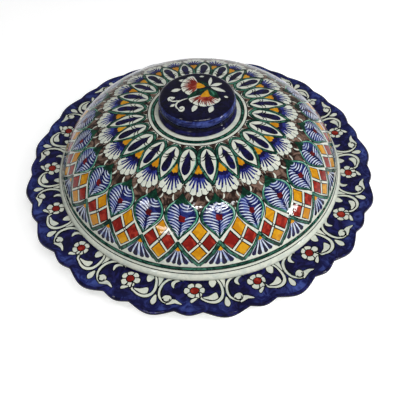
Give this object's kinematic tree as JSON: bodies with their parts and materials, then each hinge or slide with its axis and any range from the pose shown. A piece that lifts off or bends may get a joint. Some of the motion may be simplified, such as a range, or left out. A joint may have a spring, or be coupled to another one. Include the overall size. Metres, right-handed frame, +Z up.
{
  "type": "covered serving dish",
  "caption": "Round covered dish in painted glazed earthenware: a shallow plate with a scalloped, fluted rim and a low domed lid with a broad flat knob.",
  "frame": {"origin": "centre of the foot ring's standing face, on the table", "axes": "+Z up along the plate's and the lid's common axis, +X through the middle of a large rim lobe"},
  "size_m": [0.3263, 0.3278, 0.1111],
  "materials": {
    "plate_glaze": "gloss",
    "bare_clay": "matte",
    "lid_glaze": "gloss",
    "knob_glaze": "gloss"
  },
  "bodies": {
    "plate": {"dish": "plate_glaze", "foot_ring": "bare_clay"},
    "lid": {"lid_dome": "lid_glaze", "knob": "knob_glaze"}
  },
  "joints": [
    {"name": "lid_lift", "type": "slide", "parent": "plate", "child": "lid", "axis": [0, 0, 1], "range_m": [0, 0.15]}
  ]
}
